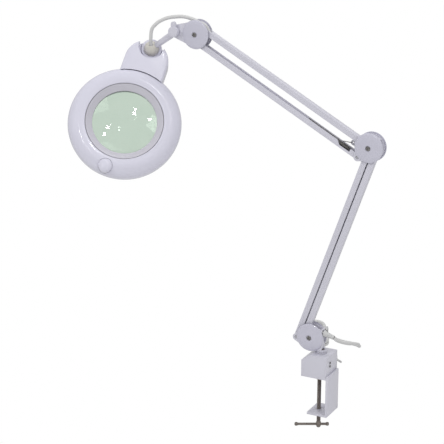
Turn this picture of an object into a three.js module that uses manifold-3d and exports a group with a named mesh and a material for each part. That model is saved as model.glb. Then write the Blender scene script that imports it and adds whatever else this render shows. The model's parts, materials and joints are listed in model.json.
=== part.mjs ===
// Magnifying lamp with a ring light on a two-section parallelogram arm and a bench clamp.
// Millimetres, +Z up. The origin is on the underside of the clamp's fixed jaw, and both
// arm sections lie in the plane Y = 0, so the head reaches towards -X.
import * as THREE from 'three';
import { mergeVertices } from 'three/addons/utils/BufferGeometryUtils.js';
import Module from 'manifold-3d';

const wasm = await Module();
wasm.setup();

// ---- driving dimensions -------------------------------------------------------------
const GAP = 0.3;                 // air between two pieces that touch
const BAR_LENGTH = 400;          // pivot to pivot, all four bars
const BAR_HEIGHT = 11;
const BAR_DEPTH = 12;
const BAR_WALL = 1.5;
const PLATE_IN = 6.4;            // inner and outer faces of every joint plate
const PLATE_OUT = 8.4;
const COVER_RADIUS = 28;
const COVER_IN = 8.7;
const COVER_CROWN = 14;
const PIN_RADIUS = 3;

const LOWER_LEAN = 70.4;         // degrees above +X, lower section at rest
const UPPER_LEAN = 150.9;        // degrees above +X, upper section at rest
const BASE = [0.66, 76.2];       // centre of the base joint, X and Z
const BASE_LEFT = [-29.8, -4.6]; // pivots of the lower bars, from the joint's centre
const BASE_RIGHT = [-8.4, 15.1];
const ELBOW_LEFT = [-5.6, -17.1];
const ELBOW_RIGHT = [15.8, 2.6];
const ELBOW_TOP = [0, 0];
const ELBOW_BOTTOM = [-22.6, -20];
const HEAD_TOP = [11.8, 10.9];
const HEAD_BOTTOM = [-10.8, -9.1];
const TILT_OFFSET = [-44.9, 3.4];    // tilt bolt, from the head-end joint's centre
const BALL_OFFSET = [-58.8, -39.1];  // swivel ball, from the tilt bolt
const LEAD_WAY = [0.33, -0.66, 0.68];  // how the head lead leaves the ball

const HOUSING = { x0: -8.75, x1: 44.5, y: 26.5, z0: 0.3, z1: 46.3, wall: 3 };
const FRAME = { x0: -5.4, x1: 48.5, plate: 5, y: 26.5, top: 8, bottom: -78, jaw: 4.5, jawTip: 5 };
const PAN_X = 23;
const PAN_RADIUS = 5.5;
const SCREW_X = 19.2;
const SCREW_RADIUS = 4;
const SCREW_END = -113.4;
const PAD_RADIUS = 11;
const TBAR_Z = -107;
const TBAR_TURN = 28;            // degrees, how the handle stands at rest

const HEAD_RADIUS = 110;
const SEAM_RADIUS = 75.3;
const LENS_RADIUS = 63.5;
const NECK_WIDTH = 43;
const NECK_CENTRE = 130;
const BALL_REACH = 161.6;
const BALL_RADIUS = 15;
const POCKET_RADIUS = 25;
const SHELL = 2.2;
const SWITCH_V = -6;
const SWITCH_U = -95;
const SWITCH_RADIUS = 13.5;

// ---- solids -------------------------------------------------------------------------
function solid(geometry) {
  const bare = geometry.clone();
  bare.deleteAttribute('normal');
  bare.deleteAttribute('uv');
  const merged = mergeVertices(bare, 1e-4);
  const index = new Uint32Array(merged.index.array);
  const make = () => new wasm.Manifold(new wasm.Mesh({
    numProp: 3,
    vertProperties: new Float32Array(merged.attributes.position.array),
    triVerts: index,
  }));
  const body = make();
  if (body.volume() > 0) return body;
  for (let i = 0; i < index.length; i += 3) [index[i], index[i + 1]] = [index[i + 1], index[i]];
  return make();
}

function geometryOf(body) {
  const mesh = body.getMesh();
  const geometry = new THREE.BufferGeometry();
  geometry.setAttribute('position', new THREE.BufferAttribute(mesh.vertProperties.slice(), 3));
  geometry.setIndex(new THREE.BufferAttribute(mesh.triVerts.slice(), 1));
  geometry.computeVertexNormals();
  return geometry;
}

function minus(geometry, ...tools) {
  return geometryOf(tools.reduce((body, tool) => body.subtract(solid(tool)), solid(geometry)));
}

function plus(geometry, ...others) {
  return geometryOf(others.reduce((body, other) => body.add(solid(other)), solid(geometry)));
}

function box(x0, x1, y0, y1, z0, z1) {
  const block = new THREE.BoxGeometry(x1 - x0, y1 - y0, z1 - z0);
  return block.translate((x0 + x1) / 2, (y0 + y1) / 2, (z0 + z1) / 2);
}

// A cylinder along X, Y or Z from a to b, on the axis through the two other coordinates.
function rod(axis, radius, a, b, p, q, sides = 24, endRadius = radius) {
  const shaft = new THREE.CylinderGeometry(endRadius, radius, b - a, sides);
  const middle = (a + b) / 2;
  if (axis === 'y') return shaft.translate(p, middle, q);
  if (axis === 'z') return shaft.rotateX(Math.PI / 2).translate(p, q, middle);
  return shaft.rotateZ(-Math.PI / 2).translate(middle, p, q);
}

// An outline in X and Z, made solid from y0 to y1.
function slab(shape, y0, y1) {
  const body = new THREE.ExtrudeGeometry(shape, { depth: y1 - y0, bevelEnabled: false, curveSegments: 8 });
  return body.rotateX(Math.PI / 2).translate(0, y1, 0);
}

function outline(points) {
  return new THREE.Shape(points.map(([x, z]) => new THREE.Vector2(x, z)));
}

// The belt round two circles, each given as [x, z, radius].
function belt([ax, az, ar], [bx, bz, br]) {
  const along = Math.atan2(bz - az, bx - ax);
  const spread = Math.acos((ar - br) / Math.hypot(bx - ax, bz - az));
  const shape = new THREE.Shape();
  shape.absarc(ax, az, ar, along + spread, along - spread + 2 * Math.PI, false);
  shape.absarc(bx, bz, br, along - spread, along + spread, false);
  shape.closePath();
  return shape;
}

// A closed loop of [radius, height] turned about the Y axis.
function lathe(loop, sides = 40) {
  const points = [...loop, loop[0]].map(([r, h]) => new THREE.Vector2(r, h));
  return new THREE.LatheGeometry(points, sides);
}

function tube(points, radius, steps, sides = 8) {
  const curve = new THREE.CatmullRomCurve3(points.map((p) => new THREE.Vector3(...p)), false, 'centripetal');
  const section = new THREE.Shape().absarc(0, 0, radius, 0, 2 * Math.PI, false);
  const options = { steps, extrudePath: curve, curveSegments: sides, bevelEnabled: false };
  return new THREE.ExtrudeGeometry(section, options);
}

const lamp = new THREE.Group();
lamp.name = 'magnifying_lamp';
const finish = (color, roughness, extra = {}) => new THREE.MeshStandardMaterial({ color, roughness, ...extra });
const COATED = finish(0xd3d2dc, 0.35);
const PLASTIC = finish(0xd6d5e2, 0.3);
const STEEL = finish(0x76706a, 0.4, { metalness: 0.9 });
const BRIGHT = finish(0xb4b4b8, 0.3, { metalness: 0.9 });
const CREAM = finish(0xcfccc4, 0.4);
const CABLE = finish(0xd2d2d2, 0.5);
const GLASS = finish(0xbdcabe, 0.1, { transparent: true, opacity: 0.4 });
const OPAL = finish(0xf2f3f0, 0.6);

function add(name, geometry, material, parent = lamp) {
  const mesh = new THREE.Mesh(geometryOf(solid(geometry)), material);
  mesh.name = name;
  parent.add(mesh);
  return mesh;
}

// ---- clamp --------------------------------------------------------------------------
const inHousing = HOUSING.y - HOUSING.wall;
const frameProfile = outline([
  [FRAME.x0, 0], [FRAME.x1 - FRAME.plate, 0], [FRAME.x1 - FRAME.plate, FRAME.bottom + FRAME.jaw],
  [FRAME.jawTip, FRAME.bottom + FRAME.jaw], [FRAME.jawTip, FRAME.bottom], [FRAME.x1 - 2, FRAME.bottom],
  [FRAME.x1, FRAME.bottom + 2], [FRAME.x1, FRAME.top], [FRAME.x1 - FRAME.plate, FRAME.top],
  [FRAME.x1 - FRAME.plate, FRAME.plate], [FRAME.x0, FRAME.plate],
]);
const narrow = inHousing - GAP;
add('clamp_frame', minus(
  slab(frameProfile, -FRAME.y, FRAME.y),
  box(FRAME.x0 - 1, FRAME.x1 - FRAME.plate, narrow, FRAME.y + 1, -1, FRAME.plate + 1),
  box(FRAME.x0 - 1, FRAME.x1 - FRAME.plate, -FRAME.y - 1, -narrow, -1, FRAME.plate + 1),
  rod('z', SCREW_RADIUS + 0.1, FRAME.bottom - 1, FRAME.bottom + FRAME.jaw + 1, SCREW_X, 0, 40),
), COATED);

const housingProfile = outline([
  [HOUSING.x0, HOUSING.z0], [HOUSING.x1, HOUSING.z0], [HOUSING.x1, HOUSING.z1 - 1],
  [HOUSING.x1 - 1, HOUSING.z1], [10, HOUSING.z1], [HOUSING.x0, 34.3],
]);
const w = HOUSING.wall;
const hollowProfile = outline([
  [HOUSING.x0 + w, -1], [HOUSING.x1 - w, -1], [HOUSING.x1 - w, HOUSING.z1 - w],
  [10.8, HOUSING.z1 - w], [HOUSING.x0 + w, 32.6],
]);
const bushRadius = 7;
const shellOfHousing = minus(
  plus(
    minus(slab(housingProfile, -HOUSING.y, HOUSING.y), slab(hollowProfile, -inHousing, inHousing)),
    rod('z', bushRadius + 3.5, 16, HOUSING.z1 - 1, PAN_X, 0, 32),
  ),
  rod('z', bushRadius + GAP, 15, HOUSING.z1 + 1, PAN_X, 0, 32),
  box(FRAME.x1 - FRAME.plate - GAP, 60, -40, 40, -1, FRAME.top + GAP),
  box(30, 60, -inHousing, inHousing, -1, FRAME.plate + GAP),
  rod('x', 1.6, 40, 46, -9, 31, 12),
  rod('x', 1.6, 40, 46, -9, 24, 12),
);
add('clamp_housing', shellOfHousing, COATED);

const bushTop = 49.1;
add('pan_bush', lathe([
  [PAN_RADIUS + 0.1, 17], [bushRadius, 17], [bushRadius, HOUSING.z1 + GAP], [10, HOUSING.z1 + GAP],
  [10, bushTop - 0.6], [9.4, bushTop], [PAN_RADIUS + 0.1, bushTop],
], 32).rotateX(Math.PI / 2).translate(PAN_X, 0, 0), BRIGHT);

function panScrew(r, head, length) {
  return lathe([[0, 0], [r, 0], [r, length], [head, length], [head, length + 0.7], [head * 0.6, length + 1.5],
    [0, length + 1.6]], 16);
}
for (const [name, z] of [['housing_screw_upper', 31], ['housing_screw_lower', 24]]) {
  const screw = panScrew(1.3, 2.4, 5).rotateZ(-Math.PI / 2);
  add(name, screw.translate(HOUSING.x1 + GAP - 5, -9, z), STEEL);
}

// ---- clamp screw --------------------------------------------------------------------
add('clamp_screw', minus(
  lathe([[0, SCREW_END], [3, SCREW_END], [5, SCREW_END + 4], [5, SCREW_END + 10.5], [SCREW_RADIUS, SCREW_END + 12.5],
    [SCREW_RADIUS, -4.7], [0, -4.7]], 24).rotateX(Math.PI / 2).translate(SCREW_X, 0, 0),
  rod('y', 2.65, -8, 8, 0, 0, 20).rotateZ((TBAR_TURN - 90) * Math.PI / 180).translate(SCREW_X, 0, TBAR_Z),
), STEEL);
add('pressure_pad', lathe([[0, -2.3], [0, -4.3], [SCREW_RADIUS + GAP, -4.3], [SCREW_RADIUS + GAP, -9.7], [7, -9.7],
  [7.4, -6.3], [PAD_RADIUS, -5.9], [PAD_RADIUS, -2.3]], 32)
  .rotateX(Math.PI / 2).translate(SCREW_X, 0, 0), STEEL);
const leftEnd = -47.6;
const rightEnd = 20.7;
add('tbar', lathe([[0, leftEnd], [2.2, leftEnd], [3.6, leftEnd + 1.4], [3.6, leftEnd + 5.2], [2.5, leftEnd + 6.4],
  [2.5, rightEnd - 6.4], [3.6, rightEnd - 5.2], [3.6, rightEnd - 1.4], [2.2, rightEnd], [0, rightEnd]], 16)
  .rotateZ((TBAR_TURN - 90) * Math.PI / 180).translate(SCREW_X, 0, TBAR_Z), STEEL);

// ---- joints -------------------------------------------------------------------------
const add2 = (a, b) => [a[0] + b[0], a[1] + b[1]];
const turned = (length, degrees) => {
  const angle = degrees * Math.PI / 180;
  return [length * Math.cos(angle), length * Math.sin(angle)];
};
const baseLeft = add2(BASE, BASE_LEFT);
const baseRight = add2(BASE, BASE_RIGHT);
const elbowLeft = add2(baseLeft, turned(BAR_LENGTH, LOWER_LEAN));
const elbow = add2(elbowLeft, [-ELBOW_LEFT[0], -ELBOW_LEFT[1]]);
const elbowRight = add2(baseRight, turned(BAR_LENGTH, LOWER_LEAN));
const elbowTop = add2(elbow, ELBOW_TOP);
const elbowBottom = add2(elbow, ELBOW_BOTTOM);
const headTop = add2(elbowTop, turned(BAR_LENGTH, UPPER_LEAN));
const headEnd = add2(headTop, [-HEAD_TOP[0], -HEAD_TOP[1]]);
const headBottom = add2(elbowBottom, turned(BAR_LENGTH, UPPER_LEAN));
const tilt = add2(headEnd, TILT_OFFSET);
const ball = add2(tilt, BALL_OFFSET);

// One domed cover with its hole, on the front (side = -1) or the rear (side = 1) of a joint.
function cover(centre, side) {
  const loop = [[2.4, 12.2], [18, 11.2], [26.2, COVER_IN], [COVER_RADIUS, COVER_IN], [COVER_RADIUS, 9.6],
    [26, 11.4], [18, 13.2], [2.4, COVER_CROWN]];
  return lathe(loop, 20).rotateX(side < 0 ? Math.PI : 0).translate(centre[0], 0, centre[1]);
}
function coverScrew(centre, side) {
  const loop = [[0, 9.2], [2, 9.2], [2, 14.3], [4.2, 14.4], [3.4, 15.4], [0, 15.7]];
  return lathe(loop, 10).rotateX(side < 0 ? Math.PI : 0).translate(centre[0], 0, centre[1]);
}
function finishJoint(name, centre, pins) {
  for (const [side, word] of [[-1, 'front'], [1, 'rear']]) {
    add(`${name}_cover_${word}`, cover(centre, side), PLASTIC);
    add(`${name}_screw_${word}`, coverScrew(centre, side), STEEL);
  }
  for (const [word, [x, z]] of pins) {
    add(`${name}_pin_${word}`, rod('y', PIN_RADIUS, -PLATE_OUT, PLATE_OUT, x, z, 14), BRIGHT);
  }
}
function bothPlates(shape) {
  return [slab(shape, -PLATE_OUT, -PLATE_IN), slab(shape, PLATE_IN, PLATE_OUT)];
}
const pinHole = (x, z, radius = PIN_RADIUS + GAP) => rod('y', radius, -20, 20, x, z, 14);
const PLATE_RADIUS = 25;

// ---- base joint, turning on the clamp -----------------------------------------------
add('pan_pin', rod('z', PAN_RADIUS, 14, 52.9, PAN_X, 0, 32), STEEL);
const backX = 24.96;
const baseShape = belt([...BASE, PLATE_RADIUS], [...baseLeft, 7]);
const footShape = outline([[-12, 50], [backX, 50], [backX, 95], [8, 98], [-12, 80]]);
const footRound = rod('z', 10, 50, 53, PAN_X, 0, 32);
const [basePlateA, basePlateB] = bothPlates(baseShape);
const [baseFootA, baseFootB] = bothPlates(footShape);
add('base_bracket', minus(
  plus(basePlateA, baseFootA, basePlateB, baseFootB, footRound,
    box(-12, PAN_X, -PLATE_OUT, PLATE_OUT, 50, 53),
    box(backX - 2.3, backX, -PLATE_OUT, PLATE_OUT, 52, 95)),
  pinHole(...baseLeft), pinHole(...baseRight),
  rod('z', PAN_RADIUS + GAP, 49, 54, PAN_X, 0, 32),
  rod('x', 5.8, 20, 30, 0, 86, 20),
), COATED);
finishJoint('base', BASE, [['left', baseLeft], ['right', baseRight]]);

// ---- bars ---------------------------------------------------------------------------
// A channel along +X from pivot to pivot. Its back is on the +Z side when web is 1 and on
// the -Z side when web is -1.
function channel(web) {
  const end = BAR_HEIGHT / 2;
  const inside = end - BAR_WALL;
  const wide = BAR_DEPTH / 2 - BAR_WALL;
  const from = web > 0 ? -end - 1 : -inside;
  const to = web > 0 ? inside : end + 1;
  return minus(
    slab(belt([0, 0, end], [BAR_LENGTH, 0, end]), -BAR_DEPTH / 2, BAR_DEPTH / 2),
    box(-10, BAR_LENGTH + 10, -wide, wide, from, to),
    pinHole(0, 0, PIN_RADIUS + 0.08), pinHole(BAR_LENGTH, 0, PIN_RADIUS + 0.08),
  );
}
function placed(geometry, [x, z], lean) {
  return geometry.rotateY(-lean * Math.PI / 180).translate(x, 0, z);
}
add('lower_bar_left', placed(channel(1), baseLeft, LOWER_LEAN), COATED);
add('lower_bar_right', placed(channel(-1), baseRight, LOWER_LEAN), COATED);


// The head lead comes in through a notch in the top bar's back, beside the head joint.
const NOTCH = 20;
add('upper_bar_top', placed(
  minus(channel(-1), box(BAR_LENGTH - NOTCH, BAR_LENGTH + 10, -4.5, 4.5, -8, -2)),
  elbowTop, UPPER_LEAN), COATED);
// The bottom bar's front wall is cut low beside the hook of its spring.
const cutFront = slab(outline([[19, -9], [19, 1], [42, 1], [54, -9]]), -8, -4.4);
add('upper_bar_bottom', placed(minus(channel(1), cutFront), elbowBottom, UPPER_LEAN), COATED);

const SPRING = { from: 22, to: 120, z: -1.5, radius: 4, ridges: 16 };
const ridge = (SPRING.to - SPRING.from) / SPRING.ridges;
const springLoop = [[2.6, SPRING.from]];
for (let i = 0; i < SPRING.ridges; i += 1) {
  springLoop.push([SPRING.radius, SPRING.from + (i + 0.25) * ridge]);
  springLoop.push([SPRING.radius - 0.6, SPRING.from + (i + 0.75) * ridge]);
}
springLoop.push([2.6, SPRING.to]);
const alongBar = (geometry) => geometry.rotateZ(-Math.PI / 2).translate(0, 0, SPRING.z);
add('upper_spring', placed(alongBar(lathe(springLoop, 8)), elbowBottom, UPPER_LEAN), STEEL);
add('spring_wire', placed(
  tube([[24.5, 2.4, -14], [32, 1.6, -10.9], [41, 0.4, -7.2]], 0.8, 6, 6), elbowBottom, UPPER_LEAN), STEEL);

// ---- elbow --------------------------------------------------------------------------
const around = ([x, z], radius) => [elbow[0] + x, elbow[1] + z, radius];
const elbowPlates = bothPlates(belt(around([0, 0], PLATE_RADIUS), around(ELBOW_BOTTOM, 7)));
const springLug = slab(belt(around([-20, 0], 8), around([-36.8, 3.9], 5)), PLATE_IN, PLATE_OUT);
const spacerAt = (centre, [x, z]) => rod('y', 3.2, -PLATE_OUT, PLATE_OUT, centre[0] + x, centre[1] + z, 12);
add('elbow_frame', minus(
  plus(elbowPlates[0], elbowPlates[1], springLug, spacerAt(elbow, [15.5, 15.5])),
  pinHole(...elbowLeft), pinHole(...elbowRight), pinHole(...elbowTop), pinHole(...elbowBottom),
  rod('y', 1.5, 0, 20, elbow[0] - 36.8, elbow[1] + 3.9, 12),
), COATED);
finishJoint('elbow', elbow, [['lower_left', elbowLeft], ['lower_right', elbowRight],
  ['upper_top', elbowTop], ['upper_bottom', elbowBottom]]);

// ---- head end of the arm ------------------------------------------------------------
const TILT_BOLT = 4;
const headPlates = bothPlates(belt([...headEnd, PLATE_RADIUS], [...tilt, 12]));
add('head_bracket', minus(
  plus(headPlates[0], headPlates[1], spacerAt(headEnd, [-20, 10])),
  pinHole(...headTop), pinHole(...headBottom), pinHole(...tilt, TILT_BOLT + GAP),
), COATED);
finishJoint('head_end', headEnd, [['top', headTop], ['bottom', headBottom]]);

// ---- tilt joint and swivel ball -----------------------------------------------------
const stemLength = Math.hypot(...BALL_OFFSET);
const stemLean = Math.atan2(BALL_OFFSET[1], BALL_OFFSET[0]);
const alongStem = (geometry) => geometry.rotateZ(-Math.PI / 2).rotateY(-stemLean).translate(tilt[0], 0, tilt[1]);
const stemEnd = stemLength - 10.3;
add('tilt_stem', minus(
  plus(
    rod('y', 9, -PLATE_IN + GAP, PLATE_IN - GAP, ...tilt, 28),
    alongStem(lathe([[0, 0], [6, 0], [6, 13], [6.6, 18], [5.5, stemEnd], [0, stemEnd]], 24)),
  ),
  pinHole(...tilt, TILT_BOLT + 0.12),
), COATED);
add('tilt_bolt', plus(
  rod('y', TILT_BOLT, -15.6, 10, ...tilt, 24),
  rod('y', 7, PLATE_OUT + GAP, 14, ...tilt, 6),
), STEEL);
const leverReach = 14.5;
add('tilt_lever', minus(
  plus(
    rod('y', 10, -19, -PLATE_OUT - GAP, ...tilt, 28),
    slab(belt([...tilt, 5.2], [tilt[0], tilt[1] + leverReach, 5]), -17, -11.5),
  ),
  rod('y', TILT_BOLT + GAP, -16, -5, ...tilt, 24),
), COATED);

const ballBore = alongStem(rod('y', 5.9, stemLength - 17, stemLength - 10, 0, 0, 16));
const leadWay = new THREE.Vector3(...LEAD_WAY).normalize();
const leadTurn = new THREE.Quaternion().setFromUnitVectors(new THREE.Vector3(0, 0, 1), leadWay);
const leadBore = rod('z', 3.9, 3, 20, 0, 0, 12).applyQuaternion(leadTurn);
add('swivel_ball', minus(
  new THREE.SphereGeometry(BALL_RADIUS, 20, 12).rotateX(Math.PI / 2).translate(ball[0], 0, ball[1]),
  ballBore, leadBore.translate(ball[0], 0, ball[1]),
), CREAM);

// ---- head ---------------------------------------------------------------------------
// In the head's own group +X runs across it, +Y runs up it to the ball, and +Z leaves
// the lens on the viewer's side. Its origin is the middle of the lens.
const normal = new THREE.Vector3(0.454, -0.757, 0.4699).normalize();
const across = new THREE.Vector3(0.0577, 0.5513, 0.8323).cross(normal).normalize();
const upward = normal.clone().cross(across);
const head = new THREE.Group();
head.name = 'head';
head.quaternion.setFromRotationMatrix(new THREE.Matrix4().makeBasis(across, upward, normal));
head.position.set(ball[0], 0, ball[1]).addScaledVector(upward, -BALL_REACH);
lamp.add(head);
const HEAD_SIDES = 36;
const facing = (loop, sides) => lathe(loop, sides).rotateX(Math.PI / 2);

// The neck's outline drawn in by inset, solid from h0 to h1, its top edge eased by round.
function neck(inset, h0, h1, round) {
  const half = NECK_WIDTH - inset - round;
  const shape = new THREE.Shape();
  shape.moveTo(-half, 60);
  shape.lineTo(half, 60);
  shape.absarc(0, NECK_CENTRE, half, 0, Math.PI, false);
  shape.closePath();
  const options = { depth: h1 - h0 - round, curveSegments: 14, bevelEnabled: round > 0, bevelThickness: round,
    bevelSize: round, bevelSegments: 2 };
  const block = new THREE.ExtrudeGeometry(shape, options).translate(0, 0, h0);
  return round > 0 ? minus(block, box(-99, 99, 0, 250, h0 - 20, h0)) : block;
}
const pillar = (radius, h0, h1, v = 0, u = 0, sides = 40) => rod('z', radius, h0, h1, v, u, sides);
const pocket = (radius, h0) => pillar(radius, h0, 40, 0, BALL_REACH, 28);

const crown = [[109, 8], [104, 16], [96, 21.5], [88, 23.5], [80, 23.3]];
const crownInside = [[106.9, 7.3], [102.6, 14.5], [95.4, 19.4], [88, 21.2], [80, 21]];
const topSolid = plus(
  facing([[SEAM_RADIUS, 0], [HEAD_RADIUS, 0], ...crown, [SEAM_RADIUS, 22]], HEAD_SIDES),
  minus(neck(0, 0, 17, 4), pillar(SEAM_RADIUS + 8, -9, 40)),
);
const topHollow = minus(
  plus(
    facing([[70, -1], [HEAD_RADIUS - SHELL, -1], ...crownInside, [70, 20]], HEAD_SIDES),
    minus(neck(SHELL, -1, 17 - SHELL, 0), pillar(SEAM_RADIUS + 8, -9, 40)),
  ),
  pocket(POCKET_RADIUS + SHELL, -9),
);
add('head_top_shell', minus(topSolid, topHollow, pocket(POCKET_RADIUS, -9),
  pillar(SWITCH_RADIUS + GAP, 9, 40, SWITCH_V, SWITCH_U, 28)), PLASTIC, head);

const bottom = -17.5;
const skirt = facing([[HEAD_RADIUS, -GAP], [107.8, -GAP], [107.4, -7.5], [105.6, -12.8], [103, -16], [99, -16],
  [99, -18], [104, -18], [107.5, -14], [109.6, -8]], HEAD_SIDES);
const bottomNeck = minus(
  neck(0, bottom, -GAP, 0),
  minus(neck(SHELL, bottom + SHELL, 9, 0), pocket(POCKET_RADIUS + SHELL, -30)),
  pocket(POCKET_RADIUS, -3), pocket(21.2, bottom + SHELL),
  pillar(104.5, -30, 9),
);
add('head_bottom_shell', plus(skirt, bottomNeck), PLASTIC, head);

const lensTop = 10.5;
const lensBottom = 6.5;
const barrelEnd = -18;
add('lens_bezel', facing([
  [75, 21.9], [62.5, 13], [62.5, lensTop + 0.5], [63.8, lensTop + 0.5], [63.8, lensBottom - GAP],
  [62.4, lensBottom - GAP], [62.4, lensBottom - 3], [63.8, lensBottom - 5], [63.8, barrelEnd], [70, barrelEnd],
  [70, barrelEnd + 1.8], [66, barrelEnd + 1.8], [66, 12.6], [75, 19.4],
], HEAD_SIDES), PLASTIC, head);

const bulge = 6;
const lensLoop = [];
for (const radius of [1, 0.75, 0.4, 0]) {
  lensLoop.push([LENS_RADIUS * radius, lensTop + bulge * (1 - radius * radius)]);
}
for (const radius of [0, 0.4, 0.75, 1]) {
  lensLoop.push([LENS_RADIUS * radius, lensBottom - bulge * (1 - radius * radius)]);
}
add('lens', facing(lensLoop, HEAD_SIDES), GLASS, head);

const TUBE = { ring: 86, radius: 11.5, h: -1.2 };
const tubeLoop = [];
for (let i = 0; i < 10; i += 1) {
  const angle = i * 2 * Math.PI / 10;
  tubeLoop.push([TUBE.ring + TUBE.radius * Math.cos(angle), TUBE.h + TUBE.radius * Math.sin(angle)]);
}
add('ring_tube', facing(tubeLoop, 32), OPAL, head);
add('diffuser', facing([[66.3, -15.9], [85, -14.6], [102.4, -15.7], [102.4, -14.3], [85, -13.2], [66.3, -14.5]],
  HEAD_SIDES), OPAL, head);
add('ballast', box(-30, 30, 113, 132, -13, 11), STEEL, head);
add('switch_button', facing([[0, 12.8], [SWITCH_RADIUS, 12.8], [SWITCH_RADIUS, 23], [12.4, 24.8], [9, 26.2], [4.5, 27],
  [0, 27.2]], 28).translate(SWITCH_V, SWITCH_U, 0), PLASTIC, head);
add('ball_seat', facing([[9.5, -12], [12.6, -8.7], [14.5, -5], [15.3, -1], [19.5, -1], [20.5, -3], [20.5, -15],
  [9.5, -15]], 24).translate(0, BALL_REACH, 0), PLASTIC, head);

// ---- cords --------------------------------------------------------------------------
const CORD = 3.5;
const fromHeadTop = (along, off) => {
  const lean = UPPER_LEAN * Math.PI / 180;
  const [c, s] = [Math.cos(lean), Math.sin(lean)];
  return [headTop[0] - along * c + off * s, 0, headTop[1] - along * s - off * c];
};
const onLead = (reach) => [ball[0] + leadWay.x * reach, leadWay.y * reach, ball[1] + leadWay.z * reach];
add('head_lead_lower', tube([onLead(6.5), onLead(19), [-345.5, -17, 636], [-345, -17, 643]], CORD, 4), CABLE);
add('head_lead_upper', tube([[-338, -14, 662], [-330, -11, 668.5], [-316, -5, 676.5], [-300, -1, 680.5],
  [-280, 0, 681], [-259, 0, 676.5],
  [-247.5, 0, 671.5], fromHeadTop(-1, 8)], CORD, 12), CABLE);
add('head_lead_arm', tube([fromHeadTop(16, 0.6), fromHeadTop(21, -0.2), fromHeadTop(36, -0.3)], CORD, 4), CABLE);

// The mains lead leaves the base joint's back wall through a relief that droops, drops
// behind the bench's edge and runs over the bench top into a tied hank. The tube starts a
// little below the relief, clear of its path as the joint turns on the clamp.
const RELIEF = { length: 21, x: backX + GAP + 1.8, z: 86, droop: 14 };
const relief = facing([[0, -7], [3.9, -7], [3.9, 0], [6.8, 0], [6.8, 2], [5.5, 3], [4.1, RELIEF.length],
  [0, RELIEF.length]], 16).rotateY(Math.PI / 2);
add('strain_relief', relief.rotateY(RELIEF.droop * Math.PI / 180).translate(RELIEF.x, 0, RELIEF.z), CABLE);

const REST = CORD + 0.1;         // height of a lying cord's centre line
const mainsRoute = [[53, 6, 73], [64.5, 20, 66], [75, 50, 57], [62, 88, 39], [52, 118, 25], [42, 148, 11],
  [30, 166, 4.8], [16, 172, REST], [-2, 173, REST], [-20, 177, REST], [-36, 186, REST], [-46.5, 194.5, REST]];
add('mains_cord', tube(mainsRoute, CORD, 40), CABLE);

const HANK = { near: [-44.9, 132.4], far: [-82.3, 198.6], radius: 24.5, z0: 1.6, z1: 26 };
const hankBelt = belt([...HANK.far, HANK.radius], [...HANK.near, HANK.radius]);
const hankOptions = { depth: HANK.z1 - HANK.z0, bevelEnabled: false, curveSegments: 12 };
add('mains_hank', new THREE.ExtrudeGeometry(hankBelt, hankOptions).translate(0, 0, HANK.z0), CABLE);
const hankMiddle = [(HANK.near[0] + HANK.far[0]) / 2, (HANK.near[1] + HANK.far[1]) / 2];
const hankTurn = Math.atan2(HANK.far[1] - HANK.near[1], HANK.far[0] - HANK.near[0]);
const tieBand = minus(
  box(-5, 5, -HANK.radius - 1.6, HANK.radius + 1.6, 0, HANK.z1 + 1.6),
  box(-9, 9, -HANK.radius - GAP, HANK.radius + GAP, HANK.z0 - GAP, HANK.z1 + GAP),
);
add('hank_tie', tieBand.rotateZ(hankTurn).translate(...hankMiddle, 0), STEEL);
add('mains_tail', tube([[-41, 104.1, 17], [-33, 98.5, 13.5], [-25, 92.9, 10], [-14.8, 85.75, 7.7]], CORD, 8),
  CABLE);
// A plain two-pin plug lying flat, its pins pointing away from the hank.
const plug = new THREE.Group();
plug.name = 'plug_place';
plug.position.set(-13.4, 84.8, 0);
plug.rotation.z = -35 * Math.PI / 180;
lamp.add(plug);
add('plug', plus(
  rod('x', 5, 0, 14, 0, 7.5, 12, 7),
  box(12, 40, -12, 12, 1, 14),
  rod('x', 2.2, 39, 58, -9.3, 7.5, 12),
  rod('x', 2.2, 39, 58, 9.3, 7.5, 12),
), CABLE, plug);

export default lamp;
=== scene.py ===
import json
import math

import bmesh
import bpy
from mathutils import Matrix, Vector

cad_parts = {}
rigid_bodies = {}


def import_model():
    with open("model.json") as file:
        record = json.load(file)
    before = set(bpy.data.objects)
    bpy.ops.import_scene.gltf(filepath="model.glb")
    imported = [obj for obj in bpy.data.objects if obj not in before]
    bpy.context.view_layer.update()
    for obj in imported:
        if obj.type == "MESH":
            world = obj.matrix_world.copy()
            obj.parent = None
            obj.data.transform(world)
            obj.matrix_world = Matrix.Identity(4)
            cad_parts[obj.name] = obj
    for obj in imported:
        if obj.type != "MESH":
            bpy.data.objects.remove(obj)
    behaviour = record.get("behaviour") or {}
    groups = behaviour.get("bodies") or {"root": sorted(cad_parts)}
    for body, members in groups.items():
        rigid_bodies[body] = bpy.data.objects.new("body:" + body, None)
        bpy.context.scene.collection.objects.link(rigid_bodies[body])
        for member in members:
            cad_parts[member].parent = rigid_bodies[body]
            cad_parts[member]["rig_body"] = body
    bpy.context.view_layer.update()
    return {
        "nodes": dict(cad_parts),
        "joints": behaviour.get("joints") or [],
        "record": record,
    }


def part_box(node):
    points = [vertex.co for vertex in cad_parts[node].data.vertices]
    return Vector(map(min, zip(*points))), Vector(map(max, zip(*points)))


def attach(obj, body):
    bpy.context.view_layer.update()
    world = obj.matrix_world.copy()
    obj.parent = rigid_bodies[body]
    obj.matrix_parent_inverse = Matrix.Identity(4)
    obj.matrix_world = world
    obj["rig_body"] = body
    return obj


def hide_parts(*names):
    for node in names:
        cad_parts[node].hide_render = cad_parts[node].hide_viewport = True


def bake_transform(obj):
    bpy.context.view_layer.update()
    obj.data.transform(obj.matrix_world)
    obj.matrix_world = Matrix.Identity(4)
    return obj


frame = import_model()

MM = 0.001
UP = Vector((0, 0, 1))
JOINTS = {joint["name"]: joint for joint in frame["joints"]}
LEFTOVER = dict(frame["nodes"])


def at(joint):
    return Vector(JOINTS[joint]["pos_m"])


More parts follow.
